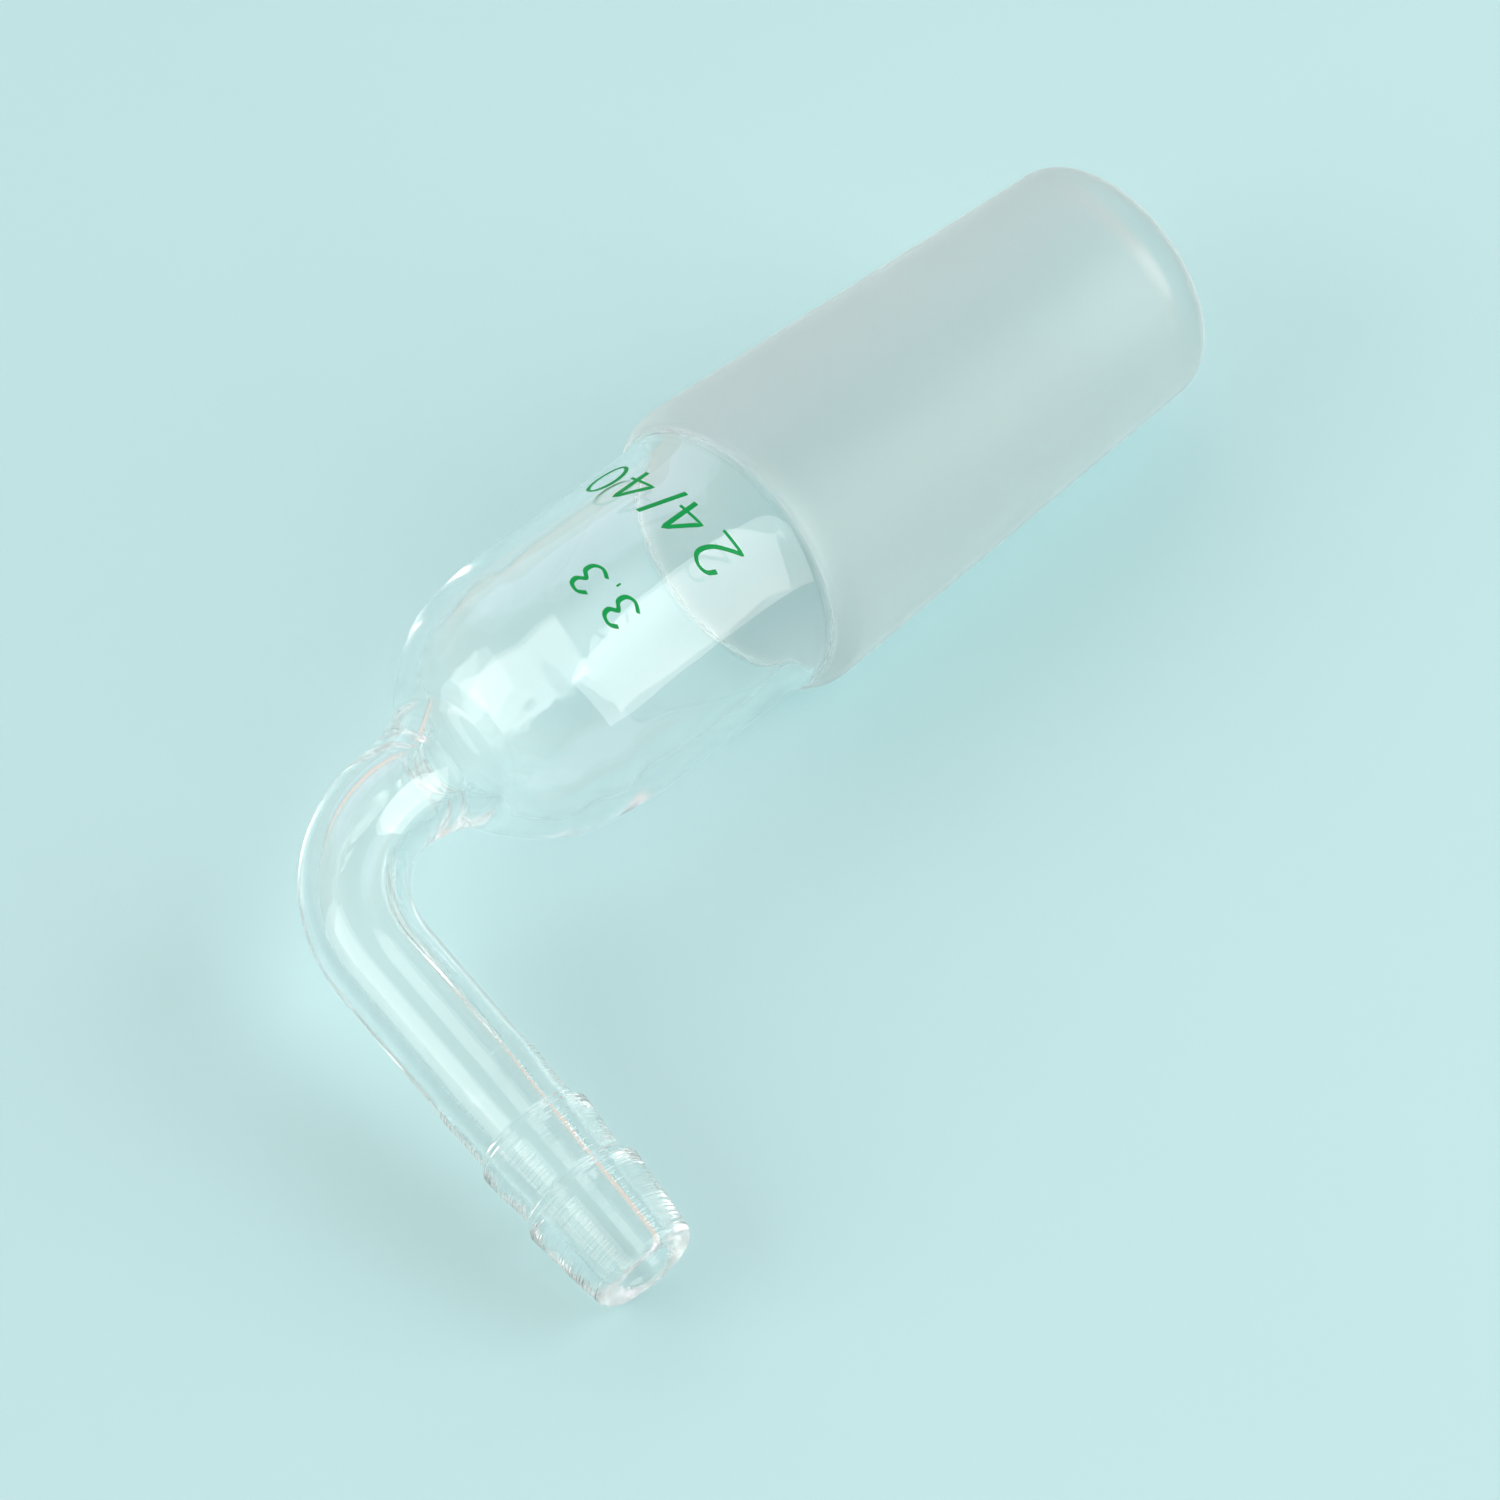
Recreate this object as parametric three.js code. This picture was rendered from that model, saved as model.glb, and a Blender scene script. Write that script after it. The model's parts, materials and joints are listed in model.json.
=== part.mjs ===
// A glass gas-inlet adapter: a 24/40 ground inner joint with a clear neck, a blown dome,
// and a thin side tube that bends about a right angle and ends in a hose connection.
// It is one piece of borosilicate glass, made here as the lengths that a glassblower fuses.
// Each length is turned about its own axis, with its bore open from end to end.
// It lies as it rests on a bench: on the ground cone and on the tip of the hose connection.
import * as THREE from 'three';

// Driving dimensions, in millimetres. X runs along the joint's axis, with its zero at the
// large end of the ground zone and plus towards the joint's open end.
const GROUND_LENGTH = 40;
const LARGE_RADIUS = 12;
const SHOULDER_RADIUS = 11.42;
const SMALL_RADIUS = 10;
const JOINT_WALL = 2.2;
const POLISHED_FROM = 38;
const LIP_RADIUS = 1.45;
const LIP_FLAT_DEPTH = 0.05;

const NECK_RADIUS = 10.75;
const NECK_WALL = 1.6;
const NECK_END = -17.4;
const DOME_END = -34;

const TUBE_RADIUS = 4;
const TUBE_BORE_RADIUS = 2.5;
const BEND_RADIUS = 10.4;
const BEND_ANGLE = THREE.MathUtils.degToRad(85);
const BEND_TO_TIP = 29.6;

const HOSE_LENGTH = 20;
const TIP_BORE_RADIUS = 1.95;
const TIP_ROUNDING = 0.8;
const TIP_CORNER_RADIUS = 4.12;
const RIDGE_RADII = [4.75, 4.57, 4.14];
const RIDGE_PLACES = [7.1, 12.4, 17.8];
const NOTCH_RADII = [4.18, 4.08, TUBE_RADIUS];
const NOTCH_PLACES = [8.4, 13.7, 19];

const TURNED_SIDES = 40;
const TUBE_SIDES = 24;
const TUBE_STEPS = 20;
const ARC_STEPS = 4;

const clearGlass = { color: 0xd5e6e4, roughness: 0.05, metalness: 0, opacity: 0.35, transparent: true };
const groundGlass = { color: 0xd9dad6, roughness: 0.6, metalness: 0, opacity: 0.8, transparent: true };

// Radius of the outer ground cone at a place along the axis.
function coneRadius(x) {
  return THREE.MathUtils.mapLinear(x, 0, GROUND_LENGTH, LARGE_RADIUS, SMALL_RADIUS);
}

// Points of a circular arc, as [place, radius] pairs.
function arc(place, radius, size, from, to) {
  return Array.from({ length: ARC_STEPS + 1 }, (unused, i) => {
    const angle = THREE.MathUtils.lerp(from, to, i / ARC_STEPS);
    return [place + size * Math.cos(angle), radius + size * Math.sin(angle)];
  });
}

// A smooth curve through a few [place, radius] pairs, cut into equal steps of its parameter.
function smooth(pairs, steps) {
  const curve = new THREE.SplineCurve(pairs.map(([place, radius]) => new THREE.Vector2(place, radius)));
  return curve.getPoints(steps).map((point) => [point.x, point.y]);
}

// A body of revolution about X. The outline goes round the wall once, towards -X on the outside,
// and closes on itself; a lathe wants it the other way round.
function turned(name, outline, look, sides = TURNED_SIDES) {
  const points = [...outline, outline[0]].map(([place, radius]) => new THREE.Vector2(radius, place));
  points.reverse();
  const geometry = new THREE.LatheGeometry(points, sides);
  geometry.rotateZ(-Math.PI / 2);
  const mesh = new THREE.Mesh(geometry, new THREE.MeshStandardMaterial(look));
  mesh.name = name;
  return mesh;
}

// The fire-polished open end: the taper runs on to a rounded, thickened lip.
function polishedLip() {
  const lipBore = SMALL_RADIUS - 2 * LIP_RADIUS;
  const centre = SMALL_RADIUS - LIP_RADIUS;
  const flatAngle = Math.acos(1 - LIP_FLAT_DEPTH / LIP_RADIUS);
  const startBore = coneRadius(POLISHED_FROM) - JOINT_WALL;
  return turned('polished_lip', [
    [POLISHED_FROM, startBore],
    [GROUND_LENGTH - 1, lipBore + 0.25],
    ...arc(GROUND_LENGTH, centre, LIP_RADIUS, -Math.PI / 2, -flatAngle),
    ...arc(GROUND_LENGTH, centre, LIP_RADIUS, flatAngle, Math.PI / 2),
    [POLISHED_FROM, coneRadius(POLISHED_FROM)],
  ], clearGlass);
}

// The ground zone, tapering 1 in 10 on its diameter. Its large end rounds over towards the neck.
function groundCone() {
  return turned('ground_cone', [
    [0, LARGE_RADIUS - JOINT_WALL],
    [POLISHED_FROM, coneRadius(POLISHED_FROM) - JOINT_WALL],
    [POLISHED_FROM, coneRadius(POLISHED_FROM)],
    [2.2, coneRadius(2.2)],
    [1, 11.82],
    [0.5, 11.67],
    [0, SHOULDER_RADIUS],
  ], groundGlass);
}

// The clear neck: a round shoulder down from the ground zone, a faint waist and a straight wall.
function clearNeck() {
  const outside = smooth([
    [0, SHOULDER_RADIUS],
    [-0.4, 11.12],
    [-0.9, 10.88],
    [-1.6, 10.74],
    [-2.8, 10.66],
    [-5, 10.62],
    [-12, NECK_RADIUS],
    [NECK_END, NECK_RADIUS],
  ], 12);
  const inside = smooth([
    [NECK_END, NECK_RADIUS - NECK_WALL],
    [-8, NECK_RADIUS - NECK_WALL],
    [-3, 9.05],
    [0, LARGE_RADIUS - JOINT_WALL],
  ], 6);
  return turned('clear_neck', [...outside, ...inside], clearGlass);
}

// The blown dome, which closes down to the side tube and flares into it where the two are fused.
function domedEnd() {
  const outside = smooth([
    [NECK_END, NECK_RADIUS],
    [-20.6, 10.4],
    [-23, 9.95],
    [-25.2, 8.8],
    [-27.6, 7.05],
    [-28.9, 5.8],
    [-30.2, 4.95],
    [-31.9, 4.35],
    [DOME_END, TUBE_RADIUS],
  ], 16);
  const inside = smooth([
    [DOME_END, TUBE_BORE_RADIUS],
    [-30.4, TUBE_BORE_RADIUS],
    [-28.9, 3.2],
    [-27.5, 4.1],
    [-26.6, 5.5],
    [-25.4, 6.75],
    [-23.4, 8.1],
    [-20.6, 8.85],
    [NECK_END, NECK_RADIUS - NECK_WALL],
  ], 14);
  return turned('domed_end', [...outside, ...inside], clearGlass);
}

// The side tube's centre line: an arc that starts along -X and turns towards -Y, then a straight run.
class TubeLine extends THREE.Curve {
  constructor(length) {
    super();
    this.length = length;
  }

  getPoint(t) {
    const along = t * this.length;
    const angle = Math.min(along / BEND_RADIUS, BEND_ANGLE);
    const straight = along - angle * BEND_RADIUS;
    return new THREE.Vector3(
      DOME_END - BEND_RADIUS * Math.sin(angle) - straight * Math.cos(angle),
      -BEND_RADIUS * (1 - Math.cos(angle)) - straight * Math.sin(angle),
      0,
    );
  }
}

const hoseStart = BEND_RADIUS * BEND_ANGLE + BEND_TO_TIP - HOSE_LENGTH;

function bentTube() {
  const wall = new THREE.Shape();
  wall.absarc(0, 0, TUBE_RADIUS, 0, 2 * Math.PI);
  const bore = new THREE.Path();
  bore.absarc(0, 0, TUBE_BORE_RADIUS, 0, 2 * Math.PI, true);
  wall.holes.push(bore);
  const geometry = new THREE.ExtrudeGeometry(wall, {
    extrudePath: new TubeLine(hoseStart),
    steps: TUBE_STEPS,
    curveSegments: TUBE_SIDES / 2,
    bevelEnabled: false,
  });
  const mesh = new THREE.Mesh(geometry, new THREE.MeshStandardMaterial(clearGlass));
  mesh.name = 'bent_tube';
  return mesh;
}

// The hose connection. Its places are measured back from the tip, and it is turned tip first.
function hoseBarb() {
  const corner = TIP_CORNER_RADIUS - TIP_ROUNDING;
  const ridges = RIDGE_PLACES.flatMap((place, i) => [
    [-place + 1.2, RIDGE_RADII[i] - 0.07],
    [-place, RIDGE_RADII[i]],
    [-place - 0.35, RIDGE_RADII[i] - 0.05],
    [-NOTCH_PLACES[i] + 0.3, NOTCH_RADII[i] + 0.08],
    [-NOTCH_PLACES[i], NOTCH_RADII[i]],
  ]);
  const barb = turned('hose_barb', [
    ...arc(-TIP_ROUNDING, corner, TIP_ROUNDING, 0, Math.PI / 2),
    ...ridges,
    [-HOSE_LENGTH, TUBE_RADIUS],
    [-HOSE_LENGTH, TUBE_BORE_RADIUS],
    [-NOTCH_PLACES[1], TUBE_BORE_RADIUS - 0.2],
    [-1.2, TIP_BORE_RADIUS],
    [-0.4, TIP_BORE_RADIUS + 0.15],
    [0, TIP_BORE_RADIUS + 0.55],
  ], clearGlass, TUBE_SIDES);
  const tip = new THREE.Group();
  tip.position.copy(new TubeLine(hoseStart + HOSE_LENGTH).getPoint(1));
  tip.rotation.z = Math.PI + BEND_ANGLE;
  tip.add(barb);
  return tip;
}

const adapter = new THREE.Group();
adapter.add(polishedLip(), groundCone(), clearNeck(), domedEnd(), bentTube(), hoseBarb());

// The cone lies along its lowest line, so the axis tilts by the taper.
const tilted = new THREE.Group();
tilted.rotation.y = Math.atan2(LARGE_RADIUS - SMALL_RADIUS, GROUND_LENGTH);
tilted.add(adapter);

function lowest(name) {
  tilted.updateMatrixWorld(true);
  return new THREE.Box3().setFromObject(tilted.getObjectByName(name), true).min.z;
}

// The adapter rolls about its axis until the hose connection meets the bench: halve the range of
// roll angles until the barb and the cone reach equally low.
let [high, low] = [0, Math.PI / 4];
for (let i = 0; i < 40; i += 1) {
  adapter.rotation.x = (high + low) / 2;
  if (lowest('hose_barb') > lowest('ground_cone')) high = adapter.rotation.x;
  else low = adapter.rotation.x;
}

// The origin is under the middle of the whole adapter, on the bench.
const part = new THREE.Group();
part.add(tilted);
const box = new THREE.Box3().setFromObject(part, true);
const middle = box.getCenter(new THREE.Vector3());
tilted.position.set(-middle.x, -middle.y, -box.min.z);

export default part;
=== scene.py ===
"""A bent glass adapter with a ground joint, lying on a plain pale table between two soft boxes.

The glass is one continuous wall. It is worked out as one closed outline that is swept round the
adapter's centre line, and then cut into the same lengths as the CAD model's nodes. The lengths
meet ring to ring with no face between them, so light passes from one to the next as in fused glass.
"""
import json
import math

import bpy
import numpy as np
from mathutils import Matrix, Vector


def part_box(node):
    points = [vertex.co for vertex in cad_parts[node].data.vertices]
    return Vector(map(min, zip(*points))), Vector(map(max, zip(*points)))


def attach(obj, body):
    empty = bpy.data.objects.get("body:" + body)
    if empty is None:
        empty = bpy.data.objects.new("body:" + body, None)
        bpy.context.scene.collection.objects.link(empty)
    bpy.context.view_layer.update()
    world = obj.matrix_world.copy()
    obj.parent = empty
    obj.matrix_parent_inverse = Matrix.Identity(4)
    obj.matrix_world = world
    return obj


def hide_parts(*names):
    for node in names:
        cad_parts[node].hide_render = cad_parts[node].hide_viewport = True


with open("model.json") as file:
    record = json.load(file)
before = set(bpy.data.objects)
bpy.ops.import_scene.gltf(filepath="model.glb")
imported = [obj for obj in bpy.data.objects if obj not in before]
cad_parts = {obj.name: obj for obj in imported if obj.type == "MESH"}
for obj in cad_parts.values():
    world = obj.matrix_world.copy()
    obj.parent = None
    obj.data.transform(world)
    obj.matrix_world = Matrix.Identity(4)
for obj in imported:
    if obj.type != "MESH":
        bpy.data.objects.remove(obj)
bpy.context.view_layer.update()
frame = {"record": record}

MM = 0.001

# ---------------------------------------------------------------- driving dimensions, in mm
# u runs along the centre line: 0 at the large end of the ground zone, minus towards the lip,
# plus through the neck, the dome and the side tube to the hose connection's tip.
GROUND_LENGTH = 40.0
LARGE_RADIUS = 12.0
SMALL_RADIUS = 10.0
JOINT_WALL = 2.2
POLISHED_FROM = 38.0
LIP_RADIUS = 1.45
LIP_FLAT_DEPTH = 0.05
NECK_RADIUS = 10.75
NECK_WALL = 1.6
NECK_END = 17.4
DOME_END = 34.0
TUBE_RADIUS = 4.0
BORE_RADIUS = 2.5
BEND_RADIUS = 10.4
BEND_ANGLE = math.radians(85)
BEND_TO_TIP = 29.6
HOSE_LENGTH = 20.0
TIP_BORE_RADIUS = 1.95
TIP_ROUNDING = 0.8
TIP_CORNER_RADIUS = 4.12

BEND_END = DOME_END + BEND_RADIUS * BEND_ANGLE
TIP = BEND_END + BEND_TO_TIP
HOSE_START = TIP - HOSE_LENGTH

SIDES = 144


# ---------------------------------------------------------------- where the adapter lies
def adapter_axes():
    """The adapter's own axes and the zero of u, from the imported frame: the joint's axis, the way
    the side tube leaves it, and the third axis, which is near upright."""
    mounts = {m["name"]: m for m in frame["record"]["mounts"]}
    to_lip = Vector(mounts["joint_open_end"]["axis"]).normalized()
    to_tip = Vector(mounts["hose_tip"]["axis"]).normalized()
    sideways = (to_tip + to_lip * math.cos(BEND_ANGLE)).normalized()
    upright = to_lip.cross(-sideways).normalized()
    low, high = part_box("ground_cone")
    origin = Vector((0, (low.y + high.y) / 2, LARGE_RADIUS * MM * math.hypot(to_lip.x, to_lip.y)))
    lip_end = (GROUND_LENGTH + LIP_RADIUS - LIP_FLAT_DEPTH) * MM
    short_of_lip = Vector(mounts["joint_open_end"]["pos_m"]) - to_lip * lip_end - origin
    origin.x = short_of_lip.dot(to_lip) / to_lip.x
    return np.array(origin), np.array(to_lip), np.array(sideways), np.array(upright)


ORIGIN, TO_LIP, SIDEWAYS, UPRIGHT = adapter_axes()


def station(u):
    """The centre line at u: its place in metres, and the two directions across it."""
    turn = min(max(u - DOME_END, 0.0) / BEND_RADIUS, BEND_ANGLE)
    before = min(u, DOME_END)
    after = max(u - BEND_END, 0.0)
    along = before + BEND_RADIUS * math.sin(turn) + after * math.cos(turn)
    across = BEND_RADIUS * (1 - math.cos(turn)) + after * math.sin(turn)
    place = ORIGIN + MM * (across * SIDEWAYS - along * TO_LIP)
    inwards = math.cos(turn) * SIDEWAYS + math.sin(turn) * TO_LIP
    return place, inwards, UPRIGHT


# ---------------------------------------------------------------- the wall's outline, as (u, radius)
def spline(pairs, step):
    """A smooth curve through pairs, with points about step mm apart."""
    p = np.array([pairs[0], *pairs, pairs[-1]], float)
    points = []
    for a, b, c, d in zip(p, p[1:], p[2:], p[3:]):
        count = max(2, math.ceil(np.linalg.norm(c - b) / step))
        for t in np.arange(count) / count:
            points.append(0.5 * (
                2 * b + (c - a) * t + (2 * a - 5 * b + 4 * c - d) * t**2
                + (3 * b - a - 3 * c + d) * t**3
            ))
    return [tuple(q) for q in points] + [tuple(pairs[-1])]


def line(start, end, step):
    count = max(2, math.ceil(math.dist(start, end) / step))
    return [tuple(q) for q in np.linspace(start, end, count + 1)]


def arc(place, radius, size, start, end, count):
    """An arc about (place, radius). Angle 0 is away from the lip, and 90 degrees is outwards."""
    angles = np.radians(np.linspace(start, end, count + 1))
    return [(place + size * math.cos(a), radius + size * math.sin(a)) for a in angles]


def cone_radius(u):
    return LARGE_RADIUS + (LARGE_RADIUS - SMALL_RADIUS) * u / GROUND_LENGTH


def lip_outline():
    """The joint's open end: from the bore, round the thickened lip, to the start of the ground zone."""
    bore_start = (-POLISHED_FROM, cone_radius(-POLISHED_FROM) - JOINT_WALL)
    bore_next = (-POLISHED_FROM - 0.3, cone_radius(-POLISHED_FROM - 0.3) - JOINT_WALL)
    lip_bore = SMALL_RADIUS - 2 * LIP_RADIUS
    inside = spline([bore_start, bore_next, (-GROUND_LENGTH + 0.8, lip_bore + 0.28),
                     (-GROUND_LENGTH + 0.1, lip_bore)], 0.12)
    rounded = arc(-GROUND_LENGTH, SMALL_RADIUS - LIP_RADIUS, LIP_RADIUS, 272, 92, 36)
    outside = line((-GROUND_LENGTH, SMALL_RADIUS), (-POLISHED_FROM, cone_radius(-POLISHED_FROM)), 0.25)
    return inside + rounded + outside


# The blown body from the shoulder of the ground zone to the side tube, outside and then back inside.
SHOULDER = (0, 11.42)
NECK_OUT = (NECK_END, NECK_RADIUS)
NECK_IN = (NECK_END, NECK_RADIUS - NECK_WALL)
JOINT_IN = (0, LARGE_RADIUS - JOINT_WALL)
BODY_OUTSIDE = spline(
    [(-2.2, cone_radius(-2.2)), (-1.6, 11.9), (-1.0, 11.82), (-0.5, 11.67), SHOULDER, (0.4, 11.12),
     (0.9, 10.88), (1.6, 10.74), (2.8, 10.66), (5, 10.62), (9, 10.67), (13, NECK_RADIUS), NECK_OUT,
     (20.6, 10.42), (23, 9.95), (25.2, 8.8), (27.6, 7.05), (28.9, 5.8), (30.2, 4.95), (31.9, 4.35),
     (DOME_END, TUBE_RADIUS)], 0.1)
BODY_INSIDE = spline(
    [(DOME_END, BORE_RADIUS), (30.6, BORE_RADIUS), (30.2, 2.53), (29.8, 2.68), (28.9, 3.2), (27.9, 3.8),
     (27.5, 4.1), (27.2, 4.55), (26.6, 5.5), (25.4, 6.75), (23.4, 8.1), (20.6, 8.9), NECK_IN,
     (8, NECK_RADIUS - NECK_WALL), (3.5, 9.05), (1.2, 9.4), JOINT_IN,
     (-1.5, cone_radius(-1.5) - JOINT_WALL)], 0.15)


def cut(points, start, end):
    """The points from start to end, where None is the first or the last."""
    first = 0 if start is None else points.index(start)
    last = len(points) - 1 if end is None else points.index(end)
    return points[first:last + 1]


# Crests and notches of the hose connection, as (distance back from the tip, radius).
RIDGES = [(3.0, 4.4), (5.6, 4.6), (6.9, 4.74), (7.35, 4.72), (7.9, 4.35), (8.4, 4.17), (9.2, 4.26),
          (11.0, 4.46), (12.3, 4.57), (12.8, 4.52), (13.3, 4.17), (13.8, 4.06), (15.5, 4.08),
          (17.8, 4.14), (18.6, 4.06), (19.4, TUBE_RADIUS), (HOSE_LENGTH, TUBE_RADIUS)]


# The fine rings that shaping left on the hose connection, as waves of (height in mm, per mm, phase).
TOOLING_WAVES = ((0.004, 11.3, 0), (0.004, 18.7, 1), (0.003, 27, 0))


def tooling_marks(u):
    """The change of radius that the tooling rings make at u."""
    fade = np.interp(u, [HOSE_START, HOSE_START + 2, TIP - 1.5, TIP - 0.8], [0, 1, 1, 0])
    return fade * sum(height * math.sin(rate * u + phase) for height, rate, phase in TOOLING_WAVES)


def hose_outline():
    corner = TIP_CORNER_RADIUS - TIP_ROUNDING
    smooth = spline([(TIP - back, radius) for back, radius in reversed(RIDGES)]
                    + [(TIP - TIP_ROUNDING, TIP_CORNER_RADIUS)], 0.05)
    outside = [(u, radius + tooling_marks(u)) for u, radius in smooth]
    rounded = arc(TIP - TIP_ROUNDING, corner, TIP_ROUNDING, 90, 4, 14)
    mouth = spline([(TIP, corner - 0.15), (TIP - 0.03, 2.75), (TIP - 0.25, 2.25),
                    (TIP - 0.9, TIP_BORE_RADIUS), (TIP - 3, TIP_BORE_RADIUS + 0.04),
                    (TIP - 13.7, 2.3), (TIP - 18.5, BORE_RADIUS), (HOSE_START, BORE_RADIUS)], 0.12)
    return outside + rounded + mouth


# The whole outline, in order: (CAD node, points). Neighbours share an end point.
OUTLINE = [
    ("polished_lip", lip_outline()),
    ("ground_cone", line((-POLISHED_FROM, cone_radius(-POLISHED_FROM)), BODY_OUTSIDE[0], 0.5)[:-1]
     + cut(BODY_OUTSIDE, None, SHOULDER)),
    ("clear_neck", cut(BODY_OUTSIDE, SHOULDER, NECK_OUT)),
    ("domed_end", cut(BODY_OUTSIDE, NECK_OUT, None)),
    ("bent_tube", line((DOME_END, TUBE_RADIUS), (HOSE_START, TUBE_RADIUS), 0.2)),
    ("hose_barb", hose_outline()),
    ("bent_tube", line((HOSE_START, BORE_RADIUS), (DOME_END, BORE_RADIUS), 0.2)),
    ("domed_end", cut(BODY_INSIDE, None, NECK_IN)),
    ("clear_neck", cut(BODY_INSIDE, NECK_IN, JOINT_IN)),
    ("ground_cone", cut(BODY_INSIDE, JOINT_IN, None)[:-1]
     + line(BODY_INSIDE[-1], (-POLISHED_FROM, cone_radius(-POLISHED_FROM) - JOINT_WALL), 0.4)),
]


# ---------------------------------------------------------------- the swept wall
SHOULDER_FROST_FADES = (0.3, 0.8)
LIP_FROST = 1.3
TIP_FROST = 0.35


def swept_wall():
    """Every ring of the wall in the outline's order, with its vertex normals, and for each stretch
    of the outline its first and last ring."""
    pairs, stretches = [], []
    for node, points in OUTLINE:
        first = max(len(pairs) - 1, 0)
        pairs += points[1:] if pairs else points
        stretches.append((node, first, len(pairs) - 1))
    pairs = pairs[:-1]
    angles = np.arange(SIDES) * 2 * math.pi / SIDES
    rings = np.empty((len(pairs), SIDES, 3))
    for k, (u, radius) in enumerate(pairs):
        place, inwards, upright = station(u)
        ring = np.cos(angles)[:, None] * inwards + np.sin(angles)[:, None] * upright
        rings[k] = place + MM * radius * ring
    return rings, np.array([frost(u, radius) for u, radius in pairs]), stretches


def frost(u, radius):
    """How far the surface is ground: 1 on the outside of the ground zone, rising towards the lip's
    end, where the veil is thickest, and fading over the shoulder and in the lip's mouth. The hose
    connection's cut tip is a little hazy. Clear glass is 0."""
    lip_end = LIP_FLAT_DEPTH - LIP_RADIUS - GROUND_LENGTH
    depth = cone_radius(u) - radius
    ground = np.interp(u, [lip_end, lip_end + 2, *SHOULDER_FROST_FADES], [LIP_FROST, 1, 1, 0])
    ground *= np.interp(depth, [2.0, 2 * LIP_RADIUS], [1, 0])
    return max(ground, TIP_FROST * np.interp(u, [TIP - 0.5, TIP], [0, 1]))


RINGS, FROST, STRETCHES = swept_wall()


def unit(vectors):
    return vectors / np.linalg.norm(vectors, axis=-1, keepdims=True)


def ring_normals():
    """Smooth normals for every ring vertex, the same on both sides of every seam."""
    around = np.roll(RINGS, -1, axis=1) - np.roll(RINGS, 1, axis=1)
    forward = np.roll(RINGS, -1, axis=0) - RINGS
    back = RINGS - np.roll(RINGS, 1, axis=0)
    return unit(np.cross(around, unit(forward) + unit(back)))


NORMALS = ring_normals()


def glass_piece(node, glass):
    """The mesh of one node: its one or two stretches of the wall, which need no face between them."""
    vertices, normals, ground, faces = [], [], [], []
    for name, first, last in STRETCHES:
        if name != node:
            continue
        base = len(vertices) * SIDES
        rows = [k % len(RINGS) for k in range(first, last + 1)]
        vertices += [RINGS[k] for k in rows]
        normals += [NORMALS[k] for k in rows]
        ground += [FROST[k] for k in rows]
        for i in range(len(rows) - 1):
            for j in range(SIDES):
                a, b = base + i * SIDES + j, base + i * SIDES + (j + 1) % SIDES
                faces.append((a, b, b + SIDES, a + SIDES))
    mesh = bpy.data.meshes.new(node + "_glass")
    mesh.from_pydata(np.concatenate(vertices).tolist(), [], faces)
    mesh.materials.append(glass)
    mesh.shade_smooth()
    mesh.normals_split_custom_set_from_vertices(np.concatenate(normals).tolist())
    if max(ground) > 0:
        mesh.attributes.new("frost", "FLOAT", "POINT").data.foreach_set("value", np.repeat(ground, SIDES))
    piece = bpy.data.objects.new(node + "_glass", mesh)
    bpy.context.scene.collection.objects.link(piece)
    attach(piece, "root")
    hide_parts(node)


# ---------------------------------------------------------------- materials
GLASS_IOR = 1.474
GLASS_TINT = (0.985, 0.995, 0.99, 1)
GROUND_TINT = (0.63, 0.72, 0.72, 1)
PAPER = ((0.50, 0.74, 0.76, 1), (0.52, 0.76, 0.78, 1))
ENAMEL_GREENS = ((0.003, 0.26, 0.06, 1), (0.005, 0.34, 0.08, 1))
LAMPS_THROUGH_CLEAR = 0.86
LAMPS_THROUGH_TUBE = 0.62
LAMPS_THROUGH_GROUND = 0.70

# Where a Mix node keeps its colours. Its sockets for numbers have the same names.
MIX_FIRST_COLOUR, MIX_SECOND_COLOUR, MIX_COLOUR_OUT = 6, 7, 2


def material(name):
    made = bpy.data.materials.new(name)
    made.use_nodes = True
    made.node_tree.nodes.clear()
    return made, made.node_tree.nodes, made.node_tree.links


def let_lamps_through(nodes, links, shader, share):
    """Ends a glass material: shadow rays pass for the most part, so the soft boxes light the table."""
    output = nodes.new("ShaderNodeOutputMaterial")
    path = nodes.new("ShaderNodeLightPath")
    passing = nodes.new("ShaderNodeBsdfTransparent")
    passing.inputs["Color"].default_value = (share, share, share, 1)
    mix = nodes.new("ShaderNodeMixShader")
    links.new(path.outputs["Is Shadow Ray"], mix.inputs[0])
    links.new(shader, mix.inputs[1])
    links.new(passing.outputs[0], mix.inputs[2])
    links.new(mix.outputs[0], output.inputs["Surface"])


def map_range(nodes, links, value, low, high, from_low=0.0, from_high=1.0):
    """A node that takes value from one range to another."""
    ramp = nodes.new("ShaderNodeMapRange")
    ramp.inputs["From Min"].default_value = from_low
    ramp.inputs["From Max"].default_value = from_high
    ramp.inputs["To Min"].default_value = low
    ramp.inputs["To Max"].default_value = high
    links.new(value, ramp.inputs["Value"])
    return ramp.outputs[0]


def multiply(nodes, links, a, b):
    product = nodes.new("ShaderNodeMath")
    product.operation = "MULTIPLY"
    links.new(a, product.inputs[0])
    links.new(b, product.inputs[1])
    return product.outputs[0]


def noise_texture(nodes, links, scale, detail):
    """A 3-D noise fixed to the glass, from 0 to 1."""
    where = nodes.new("ShaderNodeTexCoord")
    texture = nodes.new("ShaderNodeTexNoise")
    texture.inputs["Scale"].default_value = scale
    texture.inputs["Detail"].default_value = detail
    links.new(where.outputs["Object"], texture.inputs["Vector"])
    return texture.outputs["Fac"]


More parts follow.
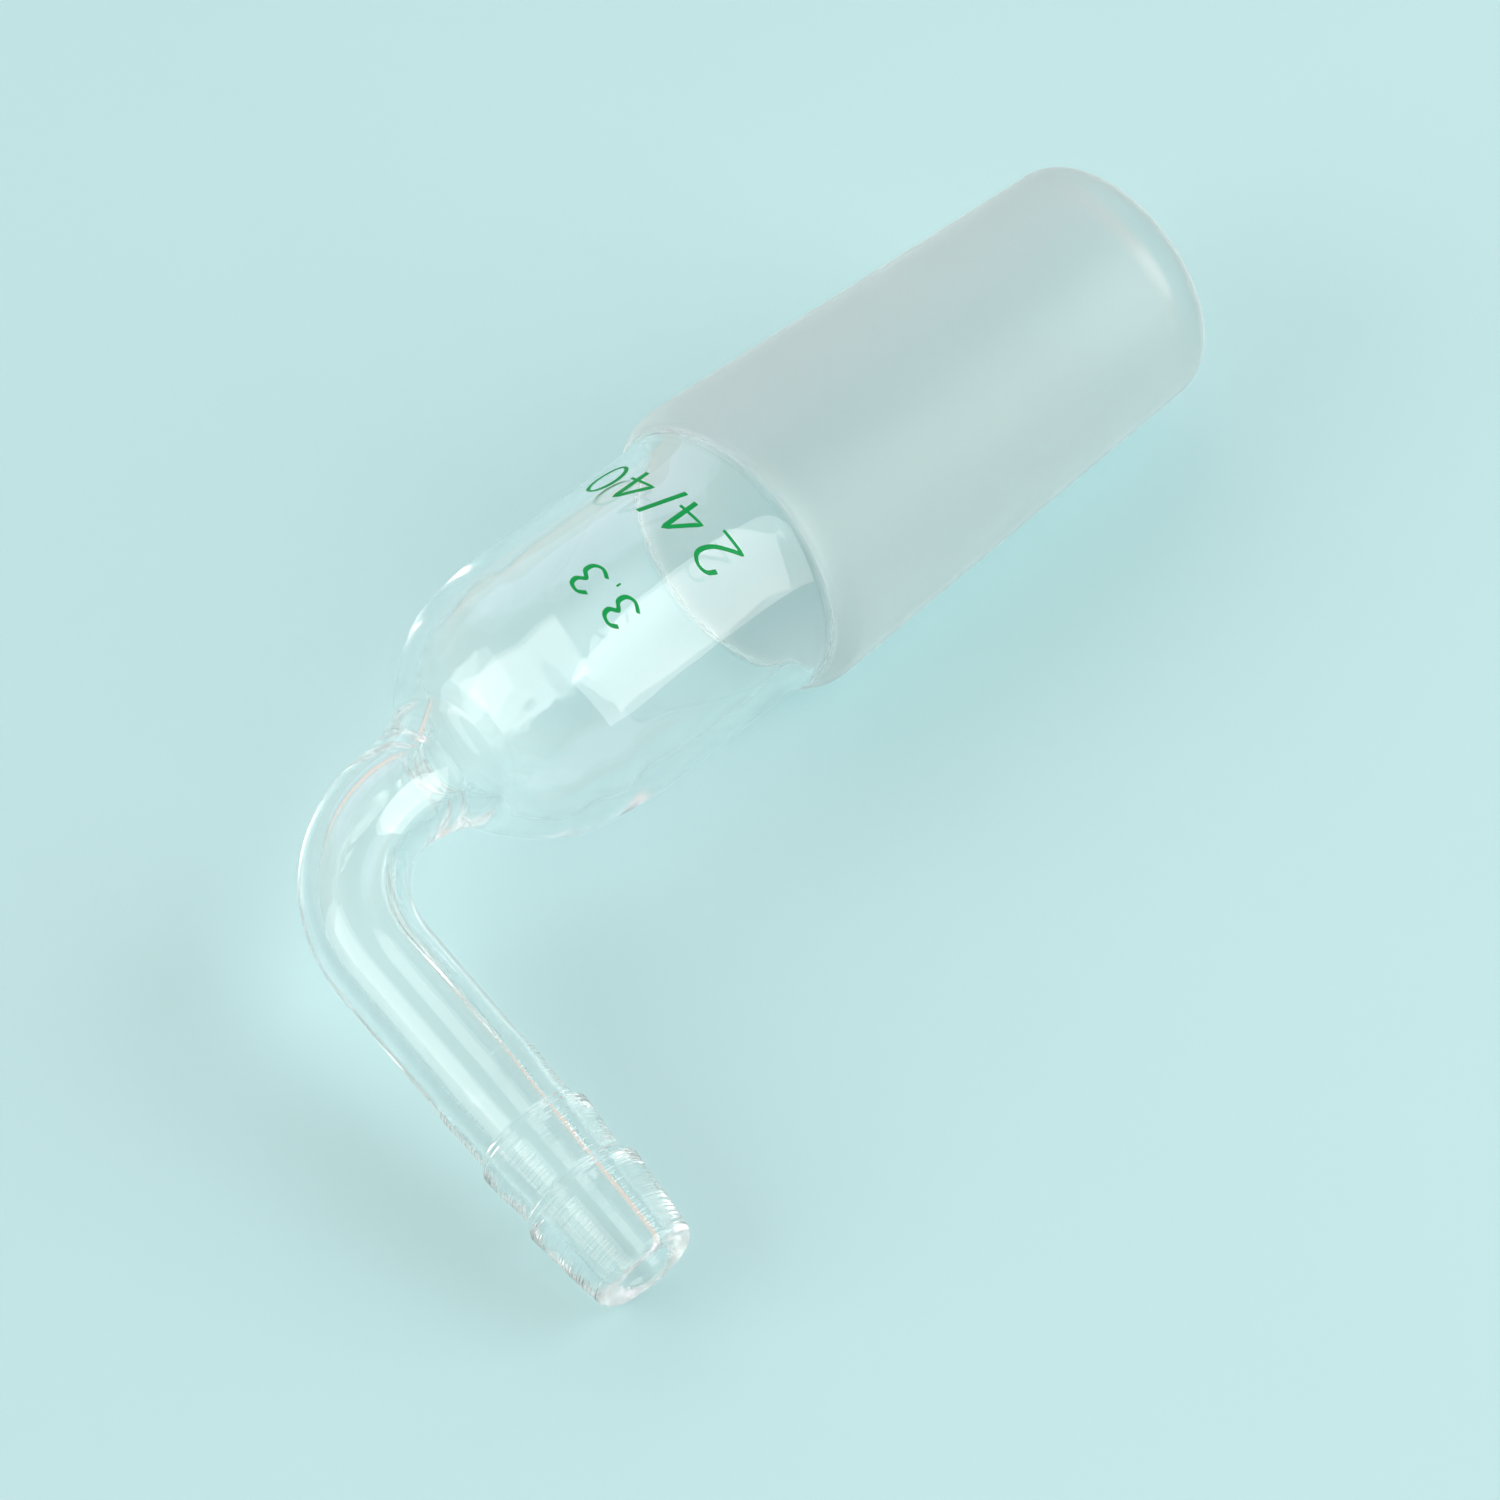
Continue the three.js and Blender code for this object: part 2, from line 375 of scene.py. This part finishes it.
def clear_glass():
    """Fire-polished borosilicate: nearly flawless, with faint smears of haze."""
    made, nodes, links = material("clear_glass")
    glass = nodes.new("ShaderNodeBsdfPrincipled")
    glass.inputs["Base Color"].default_value = GLASS_TINT
    glass.inputs["Transmission Weight"].default_value = 1
    glass.inputs["IOR"].default_value = GLASS_IOR
    smears = map_range(nodes, links, noise_texture(nodes, links, 160, 4), 0.03, 0.12, 0.4, 0.85)
    links.new(smears, glass.inputs["Roughness"])
    let_lamps_through(nodes, links, glass.outputs[0], LAMPS_THROUGH_CLEAR)
    return made


def ground_glass(name, lamps_through):
    """The same glass where its frost attribute is 0. Where it is 1 the surface is ground: it blurs
    what is behind it, under a thin white veil that thickens where the surface is seen aslant."""
    made, nodes, links = material(name)
    ground = nodes.new("ShaderNodeAttribute")
    ground.attribute_name = "frost"
    frost_here = ground.outputs["Fac"]
    glass = nodes.new("ShaderNodeBsdfPrincipled")
    tint = nodes.new("ShaderNodeMix")
    tint.data_type = "RGBA"
    links.new(frost_here, tint.inputs["Factor"])
    tint.inputs[MIX_FIRST_COLOUR].default_value = GLASS_TINT
    tint.inputs[MIX_SECOND_COLOUR].default_value = GROUND_TINT
    links.new(tint.outputs[MIX_COLOUR_OUT], glass.inputs["Base Color"])
    glass.inputs["IOR"].default_value = GLASS_IOR
    smears = map_range(nodes, links, noise_texture(nodes, links, 160, 4), 0.9, 1.1)
    links.new(multiply(nodes, links, map_range(nodes, links, frost_here, 0.01, 0.66), smears),
              glass.inputs["Roughness"])
    aslant = nodes.new("ShaderNodeLayerWeight")
    aslant.inputs["Blend"].default_value = 0.35
    veil = map_range(nodes, links, aslant.outputs["Facing"], 0.02, 0.62)
    veil = multiply(nodes, links, veil, frost_here)
    links.new(map_range(nodes, links, veil, 1.0, 0.0), glass.inputs["Transmission Weight"])
    bump = nodes.new("ShaderNodeBump")
    bump.inputs["Distance"].default_value = 0.00003
    links.new(map_range(nodes, links, frost_here, 0.0, 0.15), bump.inputs["Strength"])
    links.new(noise_texture(nodes, links, 3500, 3), bump.inputs["Height"])
    links.new(bump.outputs[0], glass.inputs["Normal"])
    let_lamps_through(nodes, links, glass.outputs[0], lamps_through)
    return made


def mottled(nodes, links, colours, scale, detail):
    """A colour that wanders between two colours, with a noise."""
    ramp = nodes.new("ShaderNodeValToRGB")
    for element, colour in zip(ramp.color_ramp.elements, colours):
        element.color = colour
    links.new(noise_texture(nodes, links, scale, detail), ramp.inputs[0])
    return ramp.outputs[0]


def green_enamel():
    """Fired enamel print: green, with a slightly uneven coat."""
    made, nodes, links = material("green_enamel")
    enamel = nodes.new("ShaderNodeBsdfPrincipled")
    enamel.inputs["Roughness"].default_value = 0.4
    enamel.inputs["Specular IOR Level"].default_value = 0.12
    links.new(mottled(nodes, links, ENAMEL_GREENS, 900, 2), enamel.inputs["Base Color"])
    output = nodes.new("ShaderNodeOutputMaterial")
    links.new(enamel.outputs[0], output.inputs["Surface"])
    return made


def table_top():
    """Smooth matt paper, pale all over, with a very faint mottle."""
    made, nodes, links = material("table_top")
    matt = nodes.new("ShaderNodeBsdfDiffuse")
    links.new(mottled(nodes, links, PAPER, 18, 5), matt.inputs["Color"])
    output = nodes.new("ShaderNodeOutputMaterial")
    links.new(matt.outputs[0], output.inputs["Surface"])
    return made


# ---------------------------------------------------------------- the printed size
STROKE_WIDTH = 0.42
STROKE_FLATTENING = 0.6
COAT = (0.004, 0.03)


def loop(width, height, count=28):
    turns = [2 * math.pi * i / count for i in range(count + 1)]
    return [(width / 2 * math.sin(t), height / 2 + height / 2 * math.cos(t)) for t in turns]


def glyphs(height):
    """Thin single-line numerals, as strokes of (across, up) points in mm."""
    w = 0.64 * height
    two = spline([(-0.46 * w, 0.74 * height), (-0.30 * w, 0.94 * height), (0.05 * w, height),
                  (0.38 * w, 0.88 * height), (0.42 * w, 0.66 * height), (0.18 * w, 0.38 * height),
                  (-0.5 * w, 0.0)], 0.15)
    three = spline([(-0.42 * w, 0.84 * height), (-0.1 * w, height), (0.3 * w, 0.93 * height),
                    (0.38 * w, 0.72 * height), (0.12 * w, 0.54 * height), (0.42 * w, 0.36 * height),
                    (0.36 * w, 0.1 * height), (-0.02 * w, 0.0), (-0.45 * w, 0.14 * height)], 0.15)
    return {
        "2": [two + [(0.5 * w, 0.0)]],
        "4": [[(0.22 * w, 0.0), (0.22 * w, height), (-0.5 * w, 0.3 * height), (0.5 * w, 0.3 * height)]],
        "/": [[(-0.28 * w, -0.04 * height), (0.28 * w, 1.04 * height)]],
        "0": [loop(0.92 * w, height)],
        "3": [three],
        ".": [[(-0.08, 0.0), (0.08, 0.0)], [(-0.08, 0.16), (0.08, 0.16)]],
    }


NECK_PROFILE = np.array(BODY_OUTSIDE).T


def printed(name, marks, base_u, height, look):
    """Numerals on the neck that read round it, with their feet towards the ground zone.
    marks is a list of (numeral, angle round the neck in degrees)."""
    shapes = glyphs(height)
    curve = bpy.data.curves.new(name, "CURVE")
    curve.dimensions = "3D"
    curve.bevel_depth = STROKE_WIDTH / 2
    curve.bevel_resolution = 3
    curve.use_fill_caps = True
    for numeral, angle in marks:
        shift = math.radians(angle) * NECK_RADIUS
        for stroke in shapes[numeral]:
            points = [stroke[0]]
            for a, b in zip(stroke, stroke[1:]):
                points += line(a, b, 0.3)[1:]
            strand = curve.splines.new("POLY")
            strand.points.add(len(points) - 1)
            for point, (across, up) in zip(strand.points, points):
                point.co = (across + shift, up / STROKE_FLATTENING, 0, 1)
    flat = bpy.data.objects.new(name + "_flat", curve)
    bpy.context.scene.collection.objects.link(flat)
    bpy.context.view_layer.update()
    mesh = bpy.data.meshes.new_from_object(flat.evaluated_get(bpy.context.evaluated_depsgraph_get()))
    bpy.data.objects.remove(flat)
    for vertex in mesh.vertices:
        across, up, height_here = vertex.co
        u = base_u + up * STROKE_FLATTENING
        angle = across / NECK_RADIUS
        lift = COAT[0] + (height_here / STROKE_WIDTH + 0.5) * (COAT[1] - COAT[0])
        place, inwards, upright = station(u)
        out = math.cos(angle) * inwards + math.sin(angle) * upright
        vertex.co = place + MM * (np.interp(u, *NECK_PROFILE) + lift) * out
    mesh.name = name
    mesh.materials.clear()
    mesh.materials.append(look)
    mesh.shade_smooth()
    piece = bpy.data.objects.new(name, mesh)
    bpy.context.scene.collection.objects.link(piece)
    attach(piece, "root")


# ---------------------------------------------------------------- camera, lights and table
CAMERA_AZIMUTH = math.radians(-44.01)
CAMERA_ELEVATION = math.radians(48.06)
CAMERA_ROLL = math.radians(2.75)
CAMERA_DISTANCE = 0.6829
CAMERA_TARGET = Vector((-0.00671, 0.00030, 0.010))
CAMERA_LENS = 227.74


# The room beyond the soft boxes: warm and pale all round, and dim above the front of the table.
WALLS = (0.79, 0.73, 0.66)
DIM = (0.20, 0.20, 0.20)
DIM_WAY = (0.05, -0.50, 0.86)
DIM_BLEND = (0.45, 0.85)


def direction(azimuth, elevation):
    """The way out from the origin at an angle from +X towards +Y, and above the table."""
    a, e = math.radians(azimuth), math.radians(elevation)
    return Vector((math.cos(e) * math.cos(a), math.cos(e) * math.sin(a), math.sin(e)))


def add_camera():
    forward = Vector((
        -math.cos(CAMERA_ELEVATION) * math.sin(CAMERA_AZIMUTH),
        math.cos(CAMERA_ELEVATION) * math.cos(CAMERA_AZIMUTH),
        -math.sin(CAMERA_ELEVATION),
    ))
    level = forward.cross(Vector((0, 0, 1))).normalized()
    above = level.cross(forward)
    right = math.cos(CAMERA_ROLL) * level - math.sin(CAMERA_ROLL) * above
    up = right.cross(forward)
    data = bpy.data.cameras.new("camera")
    data.lens = CAMERA_LENS
    data.sensor_width = 36
    data.clip_start = 0.01
    data.clip_end = 20
    camera = bpy.data.objects.new("camera", data)
    turn = Matrix((right, up, -forward)).transposed().to_4x4()
    camera.matrix_world = Matrix.Translation(CAMERA_TARGET - CAMERA_DISTANCE * forward) @ turn
    bpy.context.scene.collection.objects.link(camera)
    bpy.context.scene.camera = camera


def soft_box(name, azimuth, elevation, distance, width, height, radiance, colour):
    data = bpy.data.lights.new(name, "AREA")
    data.shape = "RECTANGLE"
    data.size = width
    data.size_y = height
    data.energy = 4 * width * height * radiance
    data.color = colour
    lamp = bpy.data.objects.new(name, data)
    way = direction(azimuth, elevation)
    lamp.location = way * distance
    lamp.rotation_euler = way.to_track_quat("Z", "Y").to_euler()
    lamp.visible_camera = False
    bpy.context.scene.collection.objects.link(lamp)


def add_lights():
    soft_box("soft_box_right", -54, 29, 0.95, 0.92, 0.95, 2.65, (1.0, 0.99, 0.97))
    soft_box("soft_box_left", 156, 26, 0.95, 0.80, 0.80, 1.55, (1.0, 0.99, 0.97))
    soft_box("window_behind", 62, 38, 1.2, 1.20, 0.80, 0.62, (0.72, 0.70, 1.0))
    world = bpy.data.worlds.new("studio")
    world.use_nodes = True
    nodes, links = world.node_tree.nodes, world.node_tree.links
    where = nodes.new("ShaderNodeTexCoord")
    towards = nodes.new("ShaderNodeVectorMath")
    towards.operation = "DOT_PRODUCT"
    towards.inputs[1].default_value = DIM_WAY
    links.new(where.outputs["Generated"], towards.inputs[0])
    room = nodes.new("ShaderNodeValToRGB")
    room.color_ramp.elements[0].color = (*WALLS, 1)
    room.color_ramp.elements[0].position = DIM_BLEND[0]
    room.color_ramp.elements[1].color = (*DIM, 1)
    room.color_ramp.elements[1].position = DIM_BLEND[1]
    links.new(towards.outputs["Value"], room.inputs[0])
    links.new(room.outputs[0], nodes["Background"].inputs["Color"])
    bpy.context.scene.world = world


def let_light_travel_in_glass():
    """Light runs along inside the wall by many reflections, so it's followed further than usual."""
    cycles = bpy.context.scene.cycles
    cycles.max_bounces = 40
    cycles.transmission_bounces = 40
    cycles.glossy_bounces = 24


def add_table():
    size = 3.0
    mesh = bpy.data.meshes.new("table")
    corners = [(x * size, y * size, 0) for x, y in ((-1, -1), (1, -1), (1, 1), (-1, 1))]
    mesh.from_pydata(corners, [], [(0, 1, 2, 3)])
    mesh.materials.append(table_top())
    table = bpy.data.objects.new("table", mesh)
    bpy.context.scene.collection.objects.link(table)


# ---------------------------------------------------------------- the scene
add_camera()
bpy.context.scene.view_settings.view_transform = "Standard"
add_lights()
let_light_travel_in_glass()
add_table()

CLEAR = clear_glass()
GROUND = ground_glass("ground_glass", LAMPS_THROUGH_GROUND)
NECK = ground_glass("neck_glass", LAMPS_THROUGH_CLEAR)
TUBE = ground_glass("tube_glass", LAMPS_THROUGH_TUBE)
for node in ("polished_lip", "ground_cone"):
    glass_piece(node, GROUND)
GLASS_OF = {"clear_neck": NECK, "domed_end": CLEAR, "bent_tube": TUBE, "hose_barb": TUBE}
for node, glass in GLASS_OF.items():
    glass_piece(node, glass)

ENAMEL = green_enamel()
size_numerals = [("2", 74.4), ("4", 93.2), ("/", 105.2), ("4", 119.9), ("0", 136.4)]
printed("size_mark", size_numerals, base_u=5.45, height=3.5, look=ENAMEL)
glass_numerals = [("3", 78.0), (".", 87.0), ("3", 96.0)]
printed("glass_mark", glass_numerals, base_u=15.0, height=2.8, look=ENAMEL)
